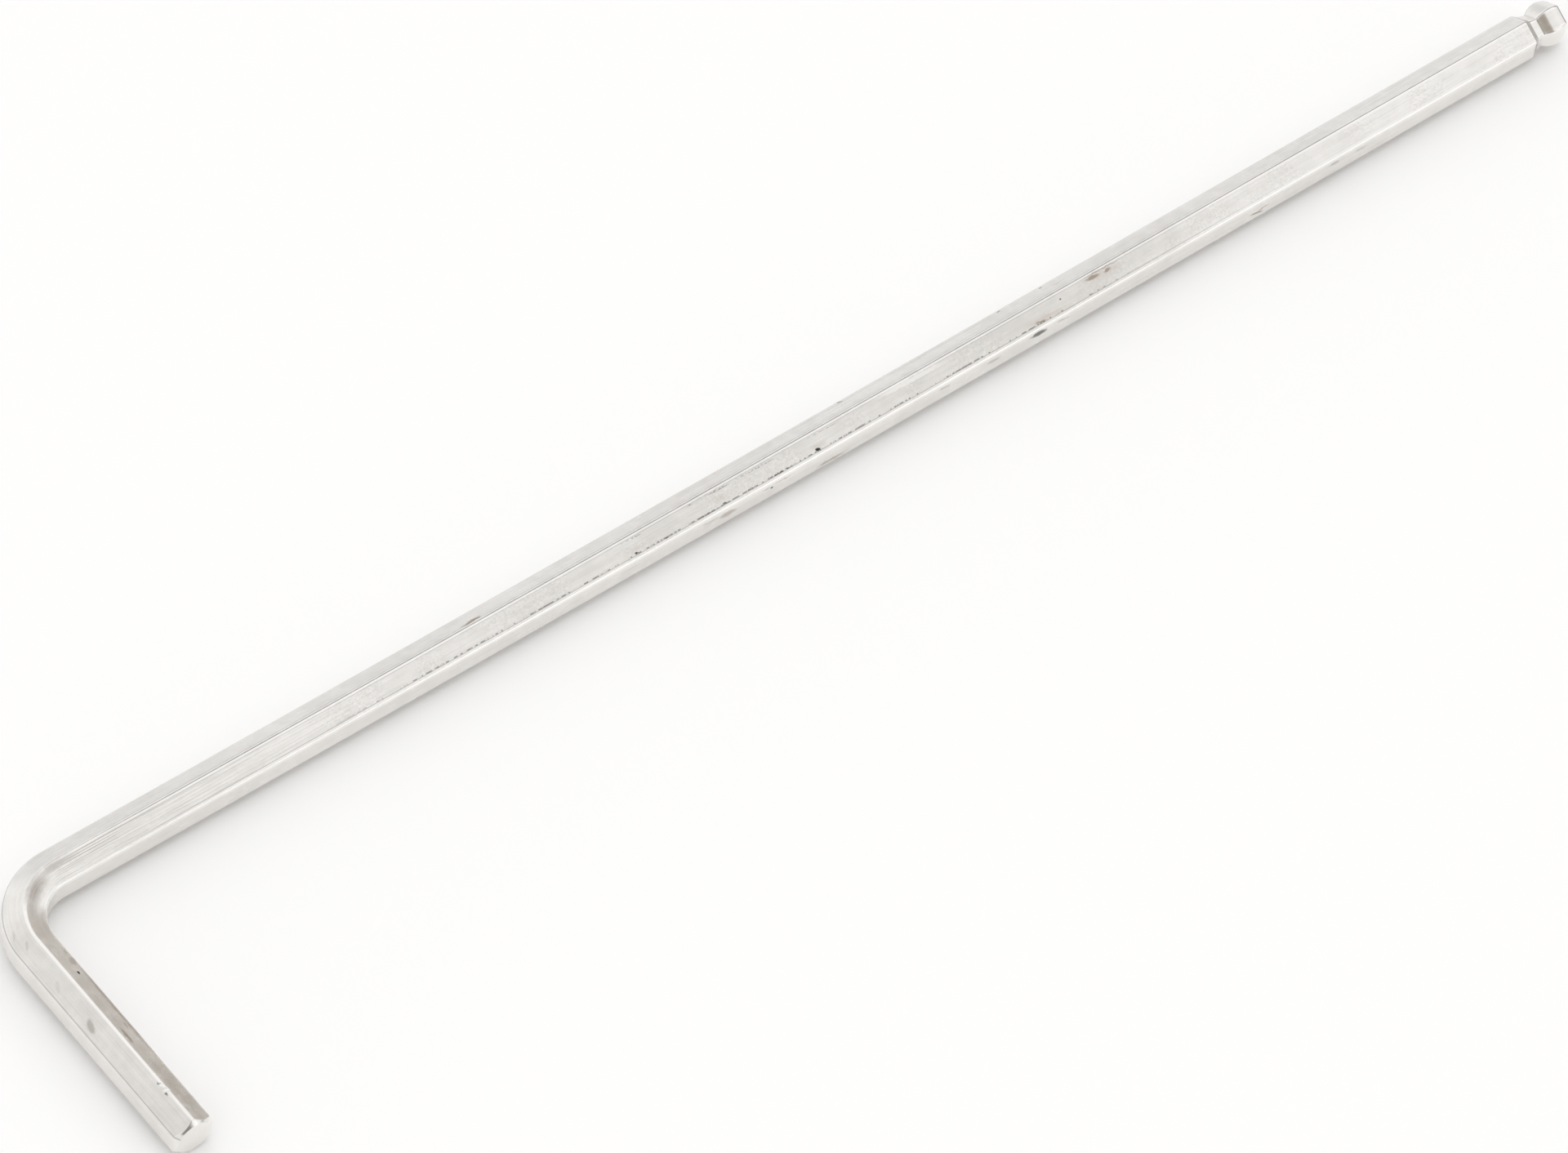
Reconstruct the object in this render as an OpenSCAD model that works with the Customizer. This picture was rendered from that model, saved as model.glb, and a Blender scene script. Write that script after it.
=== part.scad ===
// Long-arm ball-end hex key, bent from one length of hexagon bar.
// The long arm runs along +X, the short arm along -Y, and the plane of the bend is level.
// The bar's corners point up and down, so the key lies on its lowest corner edges.
// The origin is on the surface below the middle of the key's overall box.

/* [Bar] */
// Size across the flats of the hexagon bar
across_flats = 3; // [2:0.1:6]
// Radius of the drawn corners of the bar
corner_radius = 0.28; // [0.1:0.02:0.4]
// Radius of the bend, along the middle of the bar
bend_radius = 4.6; // [3.4:0.1:10]

/* [Arms] */
// Length of the long arm, from the outer flat of the short arm to the ball's tip
long_arm = 139.9; // [60:0.1:240]
// Length of the short arm, from the outer flat of the long arm to its end
short_arm = 23.5; // [17:0.1:60]

/* [Ball end] */
// Length of the ball end, from the last of the full flats to the tip
ball_length = 3.2; // [3:0.05:4]
// Distance from the fullest part of the ball to the tip
ball_front = 0.95; // [0.8:0.05:1.2]
// Radius of the ball's outline along the arm, larger than half the flats, so it is a soft ball
ball_radius = 2.05; // [1.8:0.05:2.6]
// How far the fullest part of the ball lies below the flats of the bar
ball_clearance = 0.03; // [0.01:0.01:0.06]
// Length of the steep shoulder where the full flats end
shoulder_length = 0.42; // [0.3:0.01:0.5]
// Depth of that shoulder, below the flats of the bar
shoulder_depth = 0.26; // [0.2:0.01:0.32]
// Depth of the neck where it meets the ball, below the flats of the bar
neck_depth = 0.4; // [0.36:0.01:0.5]

/* [Short end] */
// Radius of the flat round face that is left on the short arm's end
end_face_radius = 1.35; // [0.9:0.05:1.5]
// Angle of the turned chamfer round that face, from the bar's axis
end_chamfer_angle = 45; // [30:1:60]

/* [Hidden] */
$fn = 96;
bend_fn = 180;
corner_count = 6;
corner_step = 360 / corner_count;
half_flats = across_flats / 2;
// How far each corner's arc stands proud of the flats beside it, so that it ends on a clear edge
arc_overlap = 0.003;
tangent_radius = corner_radius - arc_overlap;
// Distance from the bar's axis to the centre of each corner's arc, and to the corner's top
corner_centre = (half_flats - tangent_radius) / cos(corner_step / 2);
corner_reach = corner_centre + corner_radius;
// Ends of the two arms, measured from the crossing of their axes
long_end = long_arm - half_flats;
short_end = short_arm - half_flats;
// Middle of the overall box, measured from the same crossing
middle_x = (long_end - half_flats) / 2;
middle_y = (half_flats - short_end) / 2;
// Ball: two equal arcs whose centres lie beyond the bar's axis, cut flat at the tip
ball_half = half_flats - ball_clearance;
ball_centre = long_end - ball_front;
ball_offset = ball_radius - ball_half;
// Shoulder and neck: where the full flats end, and where the neck's taper runs into the ball
flats_end = long_end - ball_length;
shoulder_x = flats_end + shoulder_length;
shoulder_half = half_flats - shoulder_depth;
neck_half = half_flats - neck_depth;
neck_overlap = 0.05;
neck_x = ball_centre - sqrt(pow(ball_radius, 2) - pow(neck_half + ball_offset, 2)) + neck_overlap;
// Spare length for the bodies that cut
spare = 1;

// Direction of each corner from the bar's axis, with the first corner at the top
function corner_angle(index) = 90 + index * corner_step;

// Centre of one corner's arc
function corner_point(index) =
    corner_centre * [cos(corner_angle(index)), sin(corner_angle(index))];

// End of one flat, where it meets a corner's arc on the given side
function flat_end(index, side) =
    corner_point(index) + tangent_radius * [
        cos(corner_angle(index) + side * corner_step / 2),
        sin(corner_angle(index) + side * corner_step / 2)
    ];

// Section of the bar: a hexagon with rounded corners, one corner at the top
module bar_section() {
    union() {
        polygon([
            for (index = [0 : corner_count - 1])
                for (side = [-1, 1])
                    flat_end(index, side)
        ]);
        for (index = [0 : corner_count - 1])
            translate(corner_point(index))
                circle(r = corner_radius);
    }
}

// Upper edge of the outline that the form wheel leaves on each pair of flats
shoulder_top = flats_end - spare * shoulder_length / shoulder_depth;
upper_edge = [
    [bend_radius - spare, half_flats + spare],
    [shoulder_top, half_flats + spare],
    [shoulder_x, shoulder_half],
    [neck_x, neck_half],
    [ball_centre, neck_half]
];
lower_edge = [
    for (index = [len(upper_edge) - 1 : -1 : 0])
        [upper_edge[index][0], -upper_edge[index][1]]
];

// Outline of the ball: where the arcs above and below the axis overlap
module ball_outline() {
    intersection() {
        translate([ball_centre, -ball_offset])
            circle(r = ball_radius);
        translate([ball_centre, ball_offset])
            circle(r = ball_radius);
    }
}

// The whole outline: the bar, the tapered neck and the ball with its flat tip
module wheel_outline() {
    union() {
        polygon(concat(upper_edge, lower_edge));
        difference() {
            ball_outline();
            translate([long_end, -across_flats])
                square([across_flats, 2 * across_flats]);
        }
    }
}

// The same outline, deep enough to cross the bar and turned to one pair of flats
module wheel_pass(turn) {
    rotate([turn * corner_step, 0, 0])
        linear_extrude(height = 2 * (corner_reach + spare), center = true)
            wheel_outline();
}

// Long arm: the straight bar with its ball end, ground in three passes round the bar
module long_straight() {
    intersection() {
        translate([bend_radius, 0, 0])
            rotate([90, 0, 90])
                linear_extrude(height = long_end - bend_radius)
                    bar_section();
        wheel_pass(0);
        wheel_pass(1);
        wheel_pass(2);
    }
}

// Quarter bend from the start of the long arm round to the start of the short arm
module bend() {
    translate([bend_radius, -bend_radius, 0])
        rotate([0, 0, 90])
            rotate_extrude(angle = 90, $fn = bend_fn)
                translate([bend_radius, 0])
                    bar_section();
}

// Cone that turns the short arm's end down to its round face
module end_cone() {
    cone_length = short_end - bend_radius + spare;
    translate([0, -short_end, 0])
        rotate([-90, 0, 0])
            cylinder(
                h = cone_length,
                r1 = end_face_radius,
                r2 = end_face_radius + cone_length * tan(end_chamfer_angle)
            );
}

// Short arm: the straight bar with its chamfered end
module short_straight() {
    intersection() {
        translate([0, -bend_radius, 0])
            rotate([90, 0, 0])
                linear_extrude(height = short_end - bend_radius)
                    bar_section();
        end_cone();
    }
}

// The whole key, one piece of steel, moved onto its resting surface
module hex_key() {
    color("#c9ccce")
        translate([-middle_x, -middle_y, corner_reach])
            union() {
                long_straight();
                bend();
                short_straight();
            }
}

hex_key();
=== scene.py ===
import math

import bmesh
import bpy
from mathutils import Matrix, Vector

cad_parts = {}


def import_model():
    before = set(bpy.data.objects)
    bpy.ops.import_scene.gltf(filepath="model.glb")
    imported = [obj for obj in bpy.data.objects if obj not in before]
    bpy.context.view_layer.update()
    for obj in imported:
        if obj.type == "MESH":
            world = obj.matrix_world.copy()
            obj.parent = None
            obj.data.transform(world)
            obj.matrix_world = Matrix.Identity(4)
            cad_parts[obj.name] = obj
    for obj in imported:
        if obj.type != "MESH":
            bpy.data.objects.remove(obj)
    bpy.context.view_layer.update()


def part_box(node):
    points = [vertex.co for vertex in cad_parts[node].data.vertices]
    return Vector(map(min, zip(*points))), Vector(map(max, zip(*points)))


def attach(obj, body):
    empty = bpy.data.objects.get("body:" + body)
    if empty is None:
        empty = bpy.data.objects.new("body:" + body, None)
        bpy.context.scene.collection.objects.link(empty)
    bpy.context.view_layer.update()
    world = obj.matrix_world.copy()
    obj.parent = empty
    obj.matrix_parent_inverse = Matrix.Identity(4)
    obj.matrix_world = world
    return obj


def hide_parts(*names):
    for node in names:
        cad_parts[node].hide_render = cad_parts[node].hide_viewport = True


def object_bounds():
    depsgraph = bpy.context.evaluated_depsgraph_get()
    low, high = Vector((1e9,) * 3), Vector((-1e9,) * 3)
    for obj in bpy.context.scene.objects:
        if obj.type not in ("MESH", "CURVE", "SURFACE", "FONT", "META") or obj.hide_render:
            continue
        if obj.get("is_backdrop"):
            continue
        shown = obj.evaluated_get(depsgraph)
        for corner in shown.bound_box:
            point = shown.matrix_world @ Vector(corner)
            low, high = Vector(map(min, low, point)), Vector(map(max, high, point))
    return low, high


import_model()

# Sizes of the key in millimetres, as in the part's source
MM = 0.001
ACROSS_FLATS = 3.0
CORNER_RADIUS = 0.28
BEND_RADIUS = 4.6
LONG_ARM = 139.9
SHORT_ARM = 23.5
BALL_LENGTH = 3.2
BALL_FRONT = 0.95
BALL_RADIUS = 2.05
BALL_CLEARANCE = 0.03
SHOULDER_LENGTH = 0.42
SHOULDER_DEPTH = 0.26
NECK_DEPTH = 0.4
END_FACE_RADIUS = 1.35

# Fine finish that the solid leaves out: how far edges are rubbed round. On the ball's outline
# that ends a little before its fullest part
BALL_CORNER = 0.18
OUTLINE_WEAR = 0.06
WEAR_END = 0.3
EDGE_SOFTNESS = 0.03
TIP_BEVEL = 0.06
BEVEL_SLOPE = 0.8
# The long arm is bowed a little towards the inside of the bend, and its end drops a little more
BOW = 0.24
END_DROP = 0.09
# Nicks in the short arm's top corner: place along the bar, half length (mm), direction, half
# width (degrees) and depth (mm)
NICKS = (
    (3.2, 0.22, 89, 7, 0.10),
    (3.75, 0.14, 87, 5, 0.06),
    (2.75, 0.16, 85, 5, 0.05),
)

# Fineness of the surface: steps round the bar, and steps along it as counts or lengths (mm)
HALF_CORNER_STEPS = 4
FLAT_STEPS = 8
CHAMFER_REACH, CHAMFER_STEPS = 0.6, 50
SHORT_ARM_STEPS = 42
NICKS_START, NICKS_END, NICKS_STEPS = 2.4, 3.96, 39
BEND_STEPS = 48
LONG_ARM_STEPS = 150
BALL_LEAD, BALL_STEP = 0.3, 0.02
SMALLEST_STEP = 0.004
# Rings inside each end face, as shares of its outline; edges sharper than this angle stay sharp
FACE_RINGS = (0.94, 0.6, 0.3)
SHARP_ANGLE = 28
# The end faces lie this far past the two ends in the UV map (mm), so that the material knows them
FACE_OFFSET = 2

# Places worked out from the sizes, along each arm from the crossing of the two axes
HALF = ACROSS_FLATS / 2
LONG_END = LONG_ARM - HALF
SHORT_END = SHORT_ARM - HALF
BALL_HALF = HALF - BALL_CLEARANCE
BALL_CENTRE = LONG_END - BALL_FRONT
BALL_OFFSET = BALL_RADIUS - BALL_HALF
FLATS_END = LONG_END - BALL_LENGTH
SHOULDER_X = FLATS_END + SHOULDER_LENGTH
SHOULDER_HALF = HALF - SHOULDER_DEPTH
NECK_HALF = HALF - NECK_DEPTH
NECK_X = BALL_CENTRE - math.sqrt(BALL_RADIUS ** 2 - (NECK_HALF + BALL_OFFSET) ** 2)

# Arc lengths along the bar, from the short arm's end to the ball's tip
BEND_START = SHORT_END - BEND_RADIUS
BEND_END = BEND_START + BEND_RADIUS * math.pi / 2
TOTAL = BEND_END + LONG_END - BEND_RADIUS
BALL_START = TOTAL - BALL_LENGTH

# Half the angle between two corners, half a flat's width, and places round the bar (mm)
HALF_CORNER = math.pi / 6
HALF_SIDE = HALF * math.tan(HALF_CORNER)
FLAT_WIDTH = HALF_SIDE * 2
LAP = FLAT_WIDTH * 6
TOP_CORNER = HALF_SIDE * 3
INNER_FLAT = HALF_SIDE * 4
INNER_UPRIGHT = HALF_SIDE * 6
OUTER_UPRIGHT = HALF_SIDE * 12
OUTER_CORNER = HALF_SIDE * 13

# Where the crossing of the two arms' axes lies in the shared frame
low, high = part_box("hex_key")
CROSSING = Vector((low.x + HALF * MM, high.y - HALF * MM, (low.z + high.z) / 2))


def rounded_hexagon(angle, apothem, radius):
    """Distance from the axis to a hexagon with rounded corners, one corner at 90 degrees."""
    off = (math.degrees(angle) - 90 + 30) % 60 - 30
    phi = math.radians(abs(off))
    centre = (apothem - radius) / math.cos(HALF_CORNER)
    tangent = math.atan2(radius / 2, centre + radius * math.cos(HALF_CORNER))
    if phi < tangent:
        return centre * math.cos(phi) + math.sqrt(radius ** 2 - (centre * math.sin(phi)) ** 2)
    return apothem / math.cos(HALF_CORNER - phi)


def soft_min(a, b, softness):
    """The smaller of two lengths, with a rounded change-over."""
    gap = max(softness - abs(a - b), 0) / softness
    return min(a, b) - gap * gap * softness / 4


def ball_outline(x):
    """Half the size across the flats at a place along the ball end, as the form wheel cuts it."""
    if x < FLATS_END:
        return HALF
    if x < SHOULDER_X:
        share = (x - FLATS_END) / SHOULDER_LENGTH
        height = HALF - SHOULDER_DEPTH * share
    elif x < NECK_X:
        share = (x - SHOULDER_X) / (NECK_X - SHOULDER_X)
        height = SHOULDER_HALF + (NECK_HALF - SHOULDER_HALF) * share
    else:
        height = NECK_HALF
    arc = math.sqrt(max(BALL_RADIUS ** 2 - (x - BALL_CENTRE) ** 2, 0)) - BALL_OFFSET
    return max(height, arc)


def worn_outline(x):
    """The same outline with its corners rubbed round; the ball's own arc stays as it is."""
    if x > BALL_CENTRE - WEAR_END:
        return ball_outline(x)
    heights = [ball_outline(x + step * OUTLINE_WEAR) for step in (-2, -1, 0, 1, 2)]
    return sum(heights) / len(heights)


def nick_depth(s, angle):
    """How deep the small nicks in the short arm's top corner are at this place."""
    depth = 0
    for place, length, turn, width, deepest in NICKS:
        off = math.hypot((s - place) / length, (math.degrees(angle) - turn) / width)
        depth = max(depth, deepest * max(1 - off * off, 0))
    return depth


def section_radius(s, angle):
    """Distance from the axis to the surface, at arc length s and a direction round the bar."""
    r = rounded_hexagon(angle, HALF, CORNER_RADIUS) - nick_depth(s, angle)
    if s < CHAMFER_REACH:
        r = soft_min(r, END_FACE_RADIUS + s, EDGE_SOFTNESS)
        r -= max(EDGE_SOFTNESS - s, 0) * BEVEL_SLOPE
    x = s - BEND_END + BEND_RADIUS
    if x > FLATS_END - BALL_LEAD:
        r = min(r, rounded_hexagon(angle, worn_outline(x), BALL_CORNER))
        r -= max(x - LONG_END + TIP_BEVEL, 0) * BEVEL_SLOPE
    return r


def centre_line(s):
    """Point on the bar's axis and the direction to the outside of the bend."""
    if s < BEND_START:
        return Vector((0, -SHORT_END + s, 0)), Vector((-1, 0, 0))
    if s < BEND_END:
        turn = (s - BEND_START) / BEND_RADIUS
        out = Vector((-math.cos(turn), math.sin(turn), 0))
        return Vector((BEND_RADIUS, -BEND_RADIUS, 0)) + out * BEND_RADIUS, out
    x = s - BEND_END + BEND_RADIUS
    share = (x - BEND_RADIUS) / (LONG_END - BEND_RADIUS)
    bow = BOW * 4 * share * (1 - share) + END_DROP * share ** 6
    return Vector((x, -bow, 0)), Vector((0, 1, 0))


def ring_angles():
    """Directions round the bar: each corner's arc in fine steps, and each flat in wider ones."""
    angles = []
    centre = (HALF - CORNER_RADIUS) / math.cos(HALF_CORNER)
    for corner in range(6):
        base = math.pi / 2 + 2 * HALF_CORNER * corner
        for step in range(-HALF_CORNER_STEPS, HALF_CORNER_STEPS + 1):
            bulge = HALF_CORNER * step / HALF_CORNER_STEPS
            beside = CORNER_RADIUS * math.sin(bulge)
            edge = math.atan2(beside, centre + CORNER_RADIUS * math.cos(bulge))
            angles.append(base + edge)
        half_flat = HALF * math.tan(HALF_CORNER - edge)
        for step in range(1, FLAT_STEPS):
            across = -half_flat + 2 * half_flat * step / FLAT_STEPS
            angles.append(base + HALF_CORNER + math.atan2(across, HALF))
    return angles


def steps(start, end, count):
    """Places from start to end in equal steps."""
    return [start + (end - start) * i / count for i in range(count + 1)]


def stations():
    """Arc lengths of the rings: fine at the two ends and in the bend, wider along the arms."""
    along_arm = BEND_END - BEND_RADIUS
    lead = along_arm + FLATS_END - BALL_LEAD
    rows = steps(0, CHAMFER_REACH, CHAMFER_STEPS)
    rows += steps(CHAMFER_REACH, BEND_START, SHORT_ARM_STEPS)
    rows += steps(NICKS_START, NICKS_END, NICKS_STEPS)
    rows += steps(BEND_START, BEND_END, BEND_STEPS)
    rows += steps(BEND_END, lead, LONG_ARM_STEPS)
    rows += steps(lead, TOTAL, int((TOTAL - lead) / BALL_STEP))
    rows += [along_arm + x for x in (FLATS_END, SHOULDER_X, NECK_X, BALL_CENTRE)]
    kept = []
    for s in sorted(rows):
        if not kept or s - kept[-1] > SMALLEST_STEP:
            kept.append(s)
    kept[-1] = TOTAL
    return kept


def add_face(bm, uv, verts, places, smooth=True):
    """One face, with the place of each of its corners in the UV map."""
    face = bm.faces.new(verts)
    face.smooth = smooth
    for loop, place in zip(face.loops, places):
        loop[uv].uv = place


def close_end(bm, uv, ring, s, past, around):
    """Flat face at one end, in rings that narrow to a middle point."""
    middle = CROSSING + centre_line(s)[0] * MM
    count = len(ring)
    outer = ring
    for share in FACE_RINGS:
        inner = [bm.verts.new(middle + (vert.co - middle) * share) for vert in ring]
        for j in range(count):
            k = (j + 1) % count
            quad = (outer[j], outer[k], inner[k], inner[j])
            add_face(bm, uv, quad, [(s + past, around[j])] * 4, share != FACE_RINGS[0])
        outer = inner
    centre = bm.verts.new(middle)
    for j in range(count):
        add_face(bm, uv, (outer[j], outer[(j + 1) % count], centre), [(s + past, around[j])] * 3)


def swept_bar(name):
    """The key's surface, swept along its axis, with a UV map of arc length and way round in mm."""
    mesh = bpy.data.meshes.new(name)
    bm = bmesh.new()
    uv = bm.loops.layers.uv.new("sweep")
    angles = ring_angles()
    around = [a / (2 * math.pi) * LAP for a in angles]
    rows = stations()
    rings = []
    for s in rows:
        point, out = centre_line(s)
        ring = []
        for a in angles:
            r = section_radius(s, a)
            place = point + out * (r * math.cos(a)) + Vector((0, 0, r * math.sin(a)))
            ring.append(bm.verts.new(CROSSING + place * MM))
        rings.append(ring)
    for i in range(len(rings) - 1):
        near, far = rows[i], rows[i + 1]
        for j in range(len(angles)):
            k = (j + 1) % len(angles)
            left, right = around[j], around[k] + (LAP if k == 0 else 0)
            quad = (rings[i][j], rings[i][k], rings[i + 1][k], rings[i + 1][j])
            add_face(bm, uv, quad, ((near, left), (near, right), (far, right), (far, left)))
    close_end(bm, uv, rings[0], 0, -FACE_OFFSET, around)
    close_end(bm, uv, rings[-1], TOTAL, FACE_OFFSET, around)
    bmesh.ops.recalc_face_normals(bm, faces=bm.faces)
    bm.to_mesh(mesh)
    bm.free()
    mesh.set_sharp_from_angle(angle=math.radians(SHARP_ANGLE))
    obj = bpy.data.objects.new(name, mesh)
    bpy.context.scene.collection.objects.link(obj)
    return obj


class Graph:
    """Short ways to add shader nodes to one node tree."""

    def __init__(self, tree):
        self.nodes = tree.nodes
        self.links = tree.links

    def feed(self, socket, value):
        """Give a socket a plain value, or link it to another node's output."""
        if isinstance(value, bpy.types.NodeSocket):
            self.links.new(value, socket)
        else:
            socket.default_value = value

    def calc(self, operation, *values):
        """One step of arithmetic."""
        node = self.nodes.new("ShaderNodeMath")
        node.operation = operation
        for socket, value in zip(node.inputs, values):
            self.feed(socket, value)
        return node.outputs[0]

    def chain(self, operation, first, *others):
        """The same step, carried through several values."""
        for other in others:
            first = self.calc(operation, first, other)
        return first

    def product(self, *values):
        return self.chain("MULTIPLY", *values)

    def total(self, *values):
        return self.chain("ADD", *values)

    def largest(self, *values):
        return self.chain("MAXIMUM", *values)

    def outside(self, mask):
        """What a mask leaves over."""
        return self.calc("SUBTRACT", 1.0, mask)

    def away(self, value, middle):
        """Distance of a value from a middle one."""
        return self.calc("ABSOLUTE", self.calc("SUBTRACT", value, middle))

    def ramp(self, value, start, end, first=0.0, last=1.0):
        """A smooth step from first to last while the value goes from start to end."""
        node = self.nodes.new("ShaderNodeMapRange")
        node.interpolation_type = "SMOOTHSTEP"
        names = ("Value", "From Min", "From Max", "To Min", "To Max")
        for name, given in zip(names, (value, start, end, first, last)):
            self.feed(node.inputs[name], given)
        return node.outputs[0]

    def fade(self, value, start, end, first=1.0):
        """A smooth step down to nothing while the value goes from start to end."""
        return self.ramp(value, start, end, first, 0.0)

    def band(self, value, middle, full, faded, strength=1.0):
        """Full strength within one distance of the middle value, and nothing past a larger one."""
        return self.fade(self.away(value, middle), full, faded, strength)

    def mix(self, share, first, second):
        """Mix of two colours; share is the second one's."""
        node = self.nodes.new("ShaderNodeMix")
        node.data_type = "RGBA"
        for index, given in ((0, share), (6, first), (7, second)):
            self.feed(node.inputs[index], given)
        return node.outputs[2]

    def noise(self, place, scale, detail=2.0, roughness=0.5):
        """Noise from 0 to 1 at a place."""
        node = self.nodes.new("ShaderNodeTexNoise")
        self.feed(node.inputs["Vector"], place)
        node.inputs["Scale"].default_value = scale
        node.inputs["Detail"].default_value = detail
        node.inputs["Roughness"].default_value = roughness
        return node.outputs["Fac"]

    def join(self, x, y, z=0.0):
        """A place from its coordinates."""
        node = self.nodes.new("ShaderNodeCombineXYZ")
        for socket, value in zip(node.inputs, (x, y, z)):
            self.feed(socket, value)
        return node.outputs[0]

    def spot(self, place, mark, border):
        """Mask of one mark: full in its middle and none outside; a wider border is softer."""
        along, around, length, width, turn, strength = mark
        mapping = self.nodes.new("ShaderNodeMapping")
        mapping.vector_type = "TEXTURE"
        self.feed(mapping.inputs["Vector"], place)
        mapping.inputs["Location"].default_value = (along, around, 0)
        mapping.inputs["Rotation"].default_value = (0, 0, math.radians(turn))
        mapping.inputs["Scale"].default_value = (length / 2, width / 2, 1)
        gradient = self.nodes.new("ShaderNodeTexGradient")
        gradient.gradient_type = "SPHERICAL"
        self.feed(gradient.inputs["Vector"], mapping.outputs[0])
        return self.ramp(gradient.outputs["Fac"], 0.0, border, 0.0, strength)

    def marks(self, place, rows, border=0.6):
        """Mask of several marks together."""
        return self.largest(*(self.spot(place, mark, border) for mark in rows))


# Marks on the plating: place along the bar and round it, length, width (all mm), turn (degrees)
# and strength. Along counts from the short arm's end. Round it the corners lie at 2.60 (top),
# 4.33 and 6.06 (inside of the bend), 7.79 (below), 9.53 and 11.26 (outside of the bend).
BROWN_STAINS = (
    (59.5, 12.68, 2.0, 0.42, -6, 0.80),
    (59.9, 12.66, 0.8, 0.26, -6, 0.95),
    (80.5, 5.06, 2.0, 0.80, 6, 0.50),
    (79.1, 4.86, 2.4, 0.34, 6, 0.30),
    (89.8, 5.70, 3.4, 0.46, 0, 0.55),
    (110.6, 4.80, 1.7, 0.30, 8, 0.35),
    (114.0, 2.98, 1.7, 0.36, 4, 0.80),
    (115.3, 3.05, 0.9, 0.36, 0, 0.75),
    (114.8, 2.78, 4.0, 0.14, 2, 0.50),
    (108.7, 3.95, 1.2, 0.24, 4, 0.70),
    (128.6, 5.45, 1.8, 0.30, 14, 0.75),
    (129.2, 5.25, 1.4, 0.26, -16, 0.60),
    (10.5, 4.18, 12.0, 0.50, 0, 0.50),
    (15.1, 3.95, 1.3, 0.80, 35, 0.45),
    (8.1, 3.05, 1.9, 0.42, 0, 0.75),
    (9.0, 3.78, 0.7, 0.30, 0, 0.40),
    (3.5, 3.50, 8.0, 1.50, 0, 0.25),
)
RED_TINTS = (
    (109.3, 3.84, 5.4, 0.70, 3, 0.42),
    (88.8, 3.70, 2.2, 0.60, 0, 0.35),
    (80.3, 3.50, 2.4, 0.80, 10, 0.20),
    (72.8, 3.72, 2.4, 0.60, 0, 0.25),
    (111.6, 12.12, 0.8, 0.30, 0, 0.40),
    (115.0, 3.10, 4.8, 0.80, 2, 0.30),
)
GREY_MARKS = (
    (104.3, 5.00, 1.6, 0.50, 4, 0.45),
    (99.8, 4.80, 1.4, 0.40, 4, 0.40),
    (85.4, 4.72, 2.2, 0.16, 2, 0.50),
    (83.9, 4.80, 1.0, 0.20, 0, 0.45),
    (72.0, 5.00, 2.0, 0.20, 2, 0.30),
    (135.9, 4.80, 1.2, 0.50, 0, 0.45),
    (138.4, 4.89, 1.4, 0.50, 0, 0.30),
    (10.2, 11.85, 1.5, 0.65, 20, 0.60),
    (13.9, 11.90, 1.3, 0.45, 30, 0.14),
    (17.6, 12.15, 1.1, 0.30, 40, 0.26),
    (18.6, 11.70, 0.9, 0.30, 20, 0.24),
    (16.1, 4.05, 0.7, 0.30, 0, 0.40),
)
DARK_SPOTS = (
    (108.35, 4.80, 1.9, 0.74, 5, 0.82),
    (88.7, 4.00, 0.50, 0.36, 10, 1.0),
    (84.4, 4.95, 0.40, 0.24, 0, 1.0),
    (80.4, 3.98, 0.4, 0.18, 10, 0.8),
    (75.2, 4.04, 0.4, 0.18, 0, 0.9),
    (72.7, 3.98, 0.4, 0.24, 10, 0.9),
    (111.0, 3.25, 0.24, 0.18, 0, 0.8),
    (106.8, 11.52, 0.5, 0.16, 0, 0.6),
    (110.6, 11.52, 0.4, 0.16, 0, 0.6),
    (92.5, 11.52, 0.4, 0.18, 0, 0.6),
    (14.1, 3.62, 0.46, 0.32, 0, 1.0),
    (2.9, 12.74, 0.42, 0.28, 0, 0.7),
    (3.9, 12.80, 0.26, 0.18, 0, 0.6),
)
# Rows of small pits
PIT_ROWS = (
    (85.2, 4.03, 3.6, 0.17, 0, 0.85),
    (82.6, 4.02, 1.8, 0.16, 0, 0.70),
    (78.7, 4.04, 3.2, 0.15, 0, 0.75),
    (77.9, 2.84, 1.2, 0.14, 0, 0.45),
    (80.4, 2.88, 2.6, 0.15, 2, 0.55),
    (83.8, 2.92, 4.0, 0.14, 1, 0.45),
    (72.9, 2.88, 2.4, 0.14, 1, 0.40),
    (89.6, 2.90, 4.0, 0.10, 1, 0.30),
)
PALE_PATCHES = (
    (97.4, 2.90, 8.0, 0.50, 1, 0.70),
    (57.0, 3.30, 6.0, 0.60, 3, 0.30),
)
# Painted dark reflection on the flat inside the bend, and long scores that the bending left there
BEND_PAINTED_REFLECTION = (
    (21.9, 3.05, 5.4, 2.0, 0, 0.85),
    (24.2, 2.90, 5.6, 1.0, 0, 0.55),
)
SCORES = (
    (28.0, 2.81, 14.0, 0.09, 0, 0.50),
    (27.0, 2.98, 11.0, 0.06, 0, 0.45),
    (26.5, 3.13, 9.0, 0.08, 0, 0.45),
    (27.5, 3.36, 10.0, 0.05, 0, 0.35),
    (26.0, 3.50, 7.0, 0.06, 0, 0.35),
    (33.0, 2.90, 12.0, 0.05, 0, 0.35),
    (38.0, 3.08, 12.0, 0.05, 0, 0.25),
    (36.0, 3.60, 14.0, 0.05, 0, 0.25),
)
# Painted dark reflections as thin dark lines along the long arm's corners: place round the bar and
# strength
PAINTED_REFLECTION_LINES = ((4.09, 0.34), (2.79, 0.26), (12.78, 0.30))
# Place round the bar of the pits that are strung along the inner flat's edge
PIT_LINE = 4.03
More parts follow.
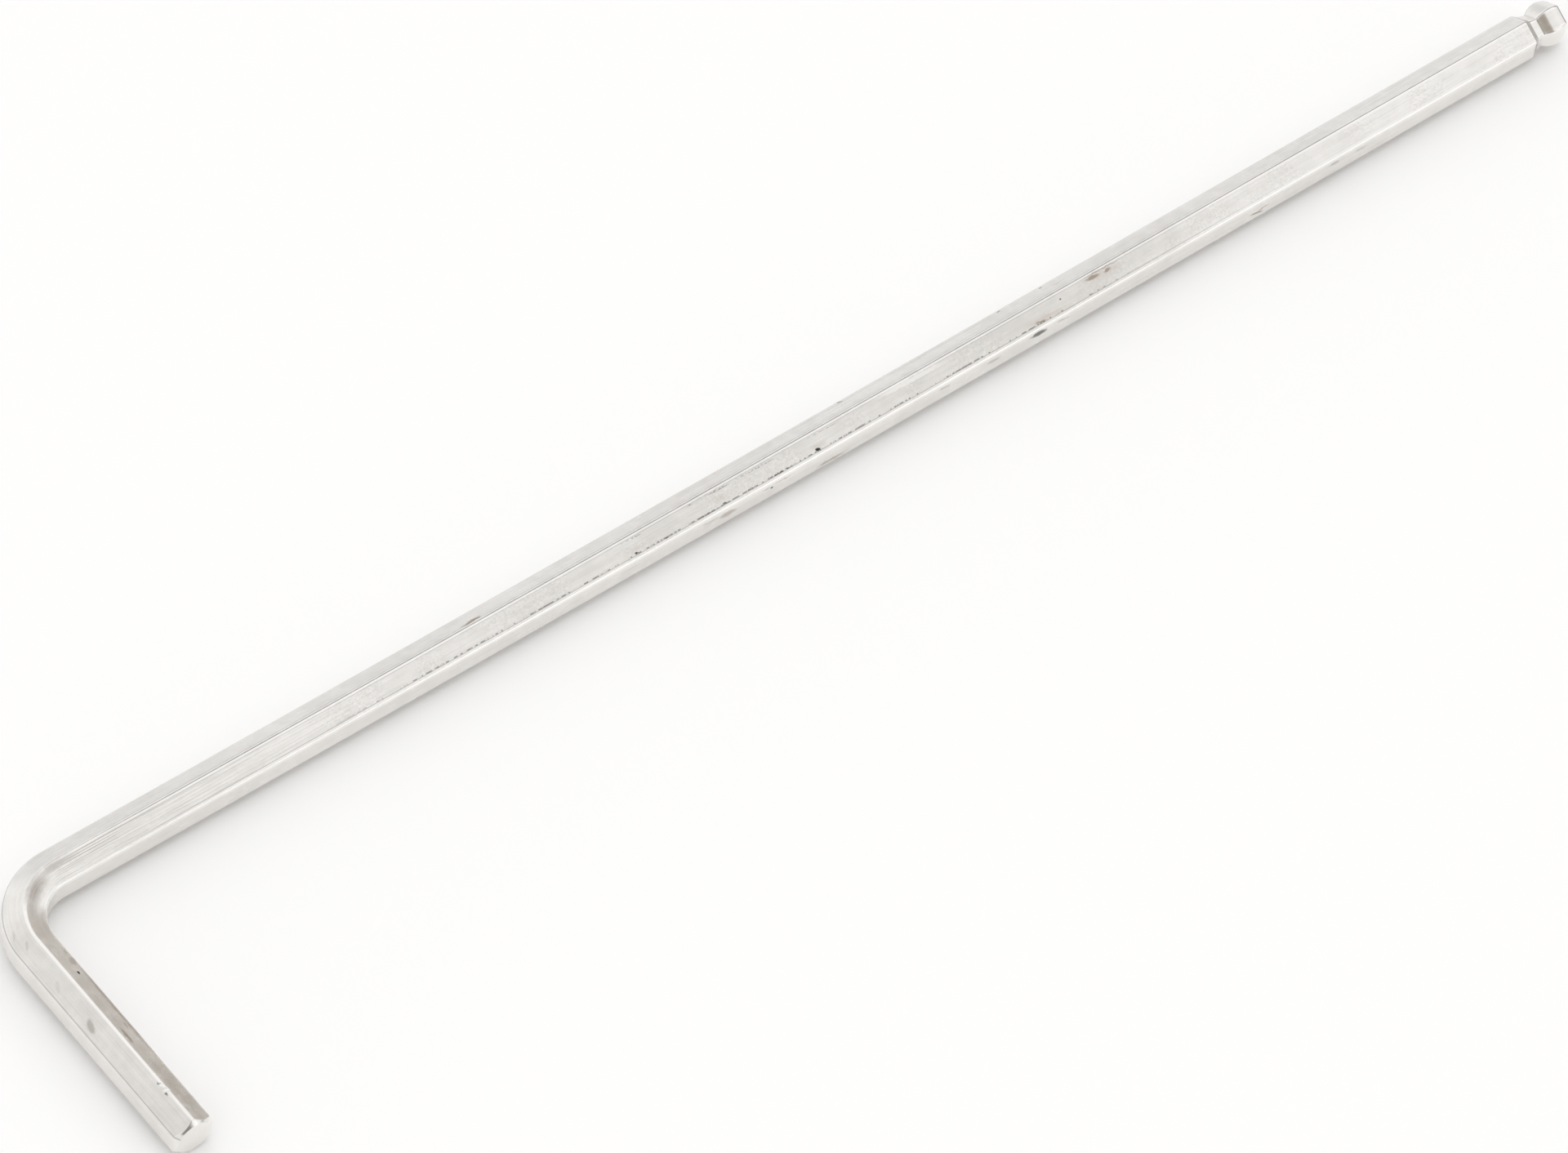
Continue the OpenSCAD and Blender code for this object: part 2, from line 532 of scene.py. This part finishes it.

# Stretches of the bar (mm along it) where each kind of wear or painted reflection line sets in or
# dies out
LINES_START, LINES_FADE = (BEND_END - 1, BEND_END + 12), (116, 134)
DEEP_START, DEEP_FADE = (BEND_START + 2, BEND_END), (30, 55)
PITS_START, PITS_FADE = (44, 56), (112, 119)
GRAIN_START = (36, 46)
SHOULDER_START, SHOULDER_FADE = (BALL_START - 0.01, BALL_START + 0.04), (TOTAL - 2.80, TOTAL - 2.74)
TIP_START = (TOTAL - 0.17, TOTAL - 0.10)
# Middle of the stretch where the inner flat is worn dull, and how far from it the dullness fades
WORN_MIDDLE, WORN_FADE = 90, (18, 45)

# Colours of the metal, of the marks on it, and of the painted dark reflections
DULL_METAL = (0.68, 0.66, 0.625, 1)
BRIGHT_METAL = (0.95, 0.93, 0.905, 1)
# Colour of the painted dark reflections along the corners, and of the dark shoulder and tip edge
REFLECTION_LINE_AND_EDGE_DARK = (0.20, 0.19, 0.18, 1)
PALE = (0.92, 0.90, 0.87, 1)
REDDISH = (0.52, 0.41, 0.34, 1)
BROWN = (0.34, 0.27, 0.20, 1)
GREY = (0.36, 0.35, 0.31, 1)
# Colour of the long scores and of the painted dark reflection inside the bend
SCORE_AND_REFLECTION_DARK = (0.31, 0.27, 0.235, 1)
PIT_DARK = (0.05, 0.045, 0.04, 1)


def reflection_lines_and_dark_edges(g, along, around):
    """Thin dark lines: painted dark reflections along the corners, and dark lines on the ground
    shoulder and at the tip's edge.
    """
    past_bend = g.ramp(along, *LINES_START)
    # Painted dark reflections along the top corner and the outer corner
    lines = g.product(g.band(around, TOP_CORNER, 0.02, 0.05), past_bend, 0.6)
    lines = g.largest(lines, g.band(around, OUTER_CORNER, 0.03, 0.07, 0.5))
    before_ball = g.product(past_bend, g.fade(along, *LINES_FADE))
    # Painted dark reflections beside the corners, fading out before the ball
    for place, strength in PAINTED_REFLECTION_LINES:
        line = g.band(around, place, 0.015, 0.045, strength)
        lines = g.largest(lines, g.product(line, before_ball))
    shoulder = g.product(g.ramp(along, *SHOULDER_START), g.fade(along, *SHOULDER_FADE), 0.5)
    tip = g.product(g.ramp(along, *TIP_START), g.band(around, INNER_FLAT, 0.80, 0.92), 0.75)
    return g.largest(lines, shoulder, tip)


def small_pits(g, along, around):
    """Mask of the pits: some strung along the inner flat's edge, and the rows placed above."""
    dashes = g.noise(g.join(g.product(along, 2.6), 7.0), scale=1.0, detail=2.0)
    bunches = g.noise(g.join(g.product(along, 0.3), 2.0), scale=1.0, detail=1.0)
    strung = g.ramp(g.total(dashes, g.product(bunches, 0.5)), 0.74, 0.81, 0.0, 0.6)
    reach = g.product(g.ramp(along, *PITS_START), g.fade(along, *PITS_FADE))
    strung = g.product(strung, g.band(around, PIT_LINE, 0.03, 0.06), reach)
    speckle = g.noise(g.join(g.product(along, 0.6), around), scale=7.0, detail=1.0)
    rows = g.marks(g.join(along, around), PIT_ROWS)
    return g.largest(strung, g.product(rows, g.ramp(speckle, 0.46, 0.56)))


def nickel():
    """Nickel plate over drawn steel: drawn lines, mottling, stains and specks, with painted
    highlights on the partly rubbed corners, painted light on the upright flats, and painted dark
    reflections along the corners and inside the bend.
    """
    material = bpy.data.materials.new("nickel_plate")
    material.use_nodes = True
    shader = material.node_tree.nodes["Principled BSDF"]
    g = Graph(material.node_tree)
    sweep = g.nodes.new("ShaderNodeUVMap")
    sweep.uv_map = "sweep"
    parts = g.nodes.new("ShaderNodeSeparateXYZ")
    g.feed(parts.inputs[0], sweep.outputs[0])
    along, around = parts.outputs[0], parts.outputs[1]
    solid = g.nodes.new("ShaderNodeTexCoord").outputs["Object"]

    # Drawn lines run along the bar; mottling, clouds and grains are the plating's own
    stretched = g.join(g.product(along, 0.025), around)
    fine_lines = g.noise(stretched, scale=9.0, detail=5.0, roughness=0.62)
    broad_lines = g.noise(g.join(g.product(along, 0.012), around, 3.0), scale=2.6)
    mottle = g.noise(solid, scale=900.0, detail=5.0, roughness=0.62)
    clouds = g.noise(solid, scale=160.0, detail=3.0)
    grains = g.noise(solid, scale=5200.0, roughness=0.6)
    patches = g.noise(solid, scale=260.0)
    # The marks' outlines are ragged
    wobble = g.product(g.calc("SUBTRACT", g.noise(solid, scale=2200.0), 0.5), 0.55)
    ragged = g.join(g.total(along, wobble), g.total(around, g.product(wobble, 0.6)))

    # Where things are: the end faces, the inner flat, and how far a place is from a corner
    past_middle = g.away(along, TOTAL / 2)
    on_end = g.calc("GREATER_THAN", past_middle, TOTAL / 2 + FACE_OFFSET / 2)
    off_end = g.outside(on_end)
    inner_flat = g.band(around, INNER_FLAT, 0.7, 0.95)
    side = g.calc("MODULO", g.total(around, HALF_SIDE * 5), FLAT_WIDTH)
    corner = g.calc("MINIMUM", side, g.calc("SUBTRACT", FLAT_WIDTH, side))

    # The drawn lines are deep beside the bend and faint on the ground ball and the two ends
    on_ball = g.product(g.ramp(along, BALL_START, BALL_START + 0.2), 0.75)
    lined = g.outside(g.largest(on_end, on_ball, g.fade(along, 0.3, 0.6, 0.9)))
    near_bend = g.product(g.ramp(along, *DEEP_START), g.fade(along, *DEEP_FADE))
    deep = g.product(g.calc("MULTIPLY_ADD", g.product(inner_flat, near_bend), 2.0, 0.7), lined)
    # Painted highlights along the corners, partly rubbed wear: they are made brighter, except the
    # one on the outside
    rubbed_wear_and_painted_highlight = g.product(g.fade(corner, 0.14, 0.27), off_end)
    rubbed_wear_and_painted_highlight = g.product(rubbed_wear_and_painted_highlight, g.calc("LESS_THAN", around, OUTER_CORNER - HALF_SIDE))
    # The inner flat is grainy in patches, and worn dull halfway along the arm
    grainy = g.product(inner_flat, g.ramp(patches, 0.42, 0.58), g.ramp(along, *GRAIN_START))
    worn = g.ramp(g.away(along, WORN_MIDDLE), *WORN_FADE, -0.05, 0.015)
    # Painted light: the upright flats are made a little paler, to make up for the floor's shadow
    # that they mirror
    upright_painted_light = g.total(
        g.band(around, INNER_UPRIGHT, 0.6, 0.9, 0.035),
        g.band(around, OUTER_UPRIGHT, 0.6, 0.9, 0.06),
    )
    light = g.total(
        g.product(g.ramp(fine_lines, 0.3, 0.7, -0.028, 0.022), deep),
        g.product(g.ramp(broad_lines, 0.3, 0.7, -0.02, 0.02), lined),
        g.ramp(mottle, 0.3, 0.7, -0.022, 0.022),
        g.ramp(clouds, 0.3, 0.7, -0.018, 0.018),
        g.product(g.ramp(grains, 0.3, 0.7, -0.045, 0.03), grainy),
        # Painted highlight along the partly rubbed corners
        g.product(rubbed_wear_and_painted_highlight, 0.075),
        g.product(on_end, 0.06),
        # Painted light on the upright flats
        g.product(upright_painted_light, off_end),
        g.product(worn, inner_flat),
    )
    colour = g.mix(g.ramp(g.total(light, 0.5), 0.34, 0.66), DULL_METAL, BRIGHT_METAL)

    brown = g.marks(ragged, BROWN_STAINS)
    grey = g.marks(ragged, GREY_MARKS)
    # Painted dark reflection inside the bend, streaked along the drawn lines
    bend_painted_reflection = g.product(g.marks(ragged, BEND_PAINTED_REFLECTION, 1.0), g.ramp(fine_lines, 0.35, 0.6, 0.7, 1.0))
    specks = g.largest(g.marks(ragged, DARK_SPOTS), small_pits(g, along, around))
    for mask, tint in (
        # Painted dark reflection lines along the corners, and the dark shoulder and tip edge
        (g.product(reflection_lines_and_dark_edges(g, along, around), off_end), REFLECTION_LINE_AND_EDGE_DARK),
        (g.marks(ragged, PALE_PATCHES), PALE),
        (g.marks(ragged, RED_TINTS, 1.0), REDDISH),
        (brown, BROWN),
        (grey, GREY),
        # Painted dark reflection inside the bend, and the long scores
        (g.largest(bend_painted_reflection, g.marks(g.join(along, around), SCORES)), SCORE_AND_REFLECTION_DARK),
        (specks, PIT_DARK),
    ):
        colour = g.mix(mask, colour, tint)
    g.feed(shader.inputs["Base Color"], colour)
    shader.inputs["Metallic"].default_value = 1.0

    rough = g.total(
        0.19,
        g.product(g.ramp(fine_lines, 0.3, 0.7, 0.04, -0.04), lined),
        g.ramp(mottle, 0.4, 0.7, 0.0, 0.08),
        g.product(g.largest(brown, grey), 0.2),
    )
    g.feed(shader.inputs["Roughness"], rough)

    bump = g.nodes.new("ShaderNodeBump")
    bump.inputs["Strength"].default_value = 0.35
    bump.inputs["Distance"].default_value = 0.04 * MM
    height = g.calc("MULTIPLY_ADD", fine_lines, deep, g.product(mottle, 0.5))
    height = g.calc("SUBTRACT", height, g.product(specks, 1.2))
    g.feed(bump.inputs["Height"], height)
    g.feed(shader.inputs["Normal"], bump.outputs[0])
    return material


def camera():
    """The photograph's camera, from a fit to the edges of both arms; lengths are in mm."""
    azimuth = math.radians(-136.813)
    elevation = math.radians(52.848)
    roll = math.radians(-10.291)
    distance = 657.55
    focal_pixels = 11778.3
    image_width = 1920
    aim = Vector((60.424, -8.053, 0))
    back = Vector((
        math.cos(elevation) * math.cos(azimuth),
        math.cos(elevation) * math.sin(azimuth),
        math.sin(elevation),
    ))
    level = (-back).cross(Vector((0, 0, 1))).normalized()
    down = (-back).cross(level)
    right = level * math.cos(roll) + down * math.sin(roll)
    up = -(down * math.cos(roll) - level * math.sin(roll))
    data = bpy.data.cameras.new("camera")
    data.sensor_width = 36
    data.lens = focal_pixels / image_width * data.sensor_width
    data.clip_start = 0.01
    obj = bpy.data.objects.new("camera", data)
    place = CROSSING + (aim + back * distance) * MM
    turn = Matrix((right, up, back)).transposed().to_4x4()
    obj.matrix_world = Matrix.Translation(place) @ turn
    bpy.context.scene.collection.objects.link(obj)
    bpy.context.scene.camera = obj


def floor():
    """Pale floor under the key."""
    mesh = bpy.data.meshes.new("floor")
    size = 1.5
    corners = [(-size, -size, 0), (size, -size, 0), (size, size, 0), (-size, size, 0)]
    mesh.from_pydata(corners, [], [(0, 1, 2, 3)])
    obj = bpy.data.objects.new("floor", mesh)
    bpy.context.scene.collection.objects.link(obj)
    material = bpy.data.materials.new("floor")
    material.use_nodes = True
    shader = material.node_tree.nodes["Principled BSDF"]
    shader.inputs["Base Color"].default_value = (0.985, 0.985, 0.985, 1)
    shader.inputs["Roughness"].default_value = 0.9
    mesh.materials.append(material)
    obj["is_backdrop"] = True


def world():
    """Light tent, soft white all round, with darker and brighter parts that the metal shows."""
    # Direction, angles (degrees) where each part is full and where it has faded, and its colour.
    # Each note says which face of the key mainly shows that part to the photograph's camera.
    parts = (
        # Short arm's inner flat, the bend beside it, and the ball's front
        ((0.97, 0.22, 0.15), 15, 24, (0.54, 0.51, 0.475, 1)),
        # Rear of the ball
        ((-0.23, -0.50, 0.82), 17, 22, (0.40, 0.365, 0.32, 1)),
        # Long arm's top corner
        ((0.44, 0.62, 0.65), 4, 10, (0.25, 0.25, 0.25, 1)),
        # Lower edge of the long arm's inner flat
        ((0.44, -0.71, 0.55), 3, 12, (0.78, 0.77, 0.76, 1)),
        # Lower edge of the short arm's outer flat
        ((-0.80, 0.41, 0.44), 4, 12, (0.68, 0.67, 0.66, 1)),
        # Short arm's outer flat
        ((-0.47, 0.41, 0.78), 10, 34, (0.85, 0.845, 0.835, 1)),
        # Long arm's outer flat
        ((0.44, 0.90, 0.04), 10, 30, (0.80, 0.805, 0.81, 1)),
        # Long arm's inner flat
        ((0.44, -0.48, 0.76), 8, 16, (0.93, 0.93, 0.93, 1)),
        # Corner below the long arm's inner flat
        ((0.44, -0.87, 0.22), 4, 14, (1.35, 1.35, 1.35, 1)),
        # Chamfer of the short end
        ((-0.22, -0.91, 0.35), 19, 26, (0.28, 0.27, 0.26, 1)),
        # Corner inside the bend, and the same corner at the ball's front
        ((0.88, -0.47, 0.03), 10, 18, (0.48, 0.50, 0.46, 1)),
    )
    tent = bpy.data.worlds.new("world")
    bpy.context.scene.world = tent
    tent.use_nodes = True
    g = Graph(tent.node_tree)
    direction = g.nodes.new("ShaderNodeTexCoord").outputs["Generated"]
    colour = (1.0, 1.0, 1.0, 1)
    for middle, full, faded, tint in parts:
        dot = g.nodes.new("ShaderNodeVectorMath")
        dot.operation = "DOT_PRODUCT"
        g.feed(dot.inputs[0], direction)
        dot.inputs[1].default_value = Vector(middle).normalized()
        edge, core = math.cos(math.radians(faded)), math.cos(math.radians(full))
        colour = g.mix(g.ramp(dot.outputs["Value"], edge, core), colour, tint)
    background = tent.node_tree.nodes["Background"]
    g.feed(background.inputs["Color"], colour)
    background.inputs["Strength"].default_value = 1.04


def lamp():
    """Soft lamp straight above, so that the shadow stays close to the key."""
    data = bpy.data.lights.new("top_lamp", "SUN")
    data.energy = 0.38
    data.angle = math.radians(40)
    obj = bpy.data.objects.new("top_lamp", data)
    obj.location = (0, 0, 1)
    # The metal doesn't mirror it, so that the upper flats don't burn out in low views
    obj.visible_glossy = False
    bpy.context.scene.collection.objects.link(obj)


bpy.context.scene.view_settings.view_transform = "Standard"
camera()
world()
lamp()
floor()
key = swept_bar("key_bar")
key.data.materials.append(nickel())
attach(key, "root")
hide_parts("hex_key")

low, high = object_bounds()
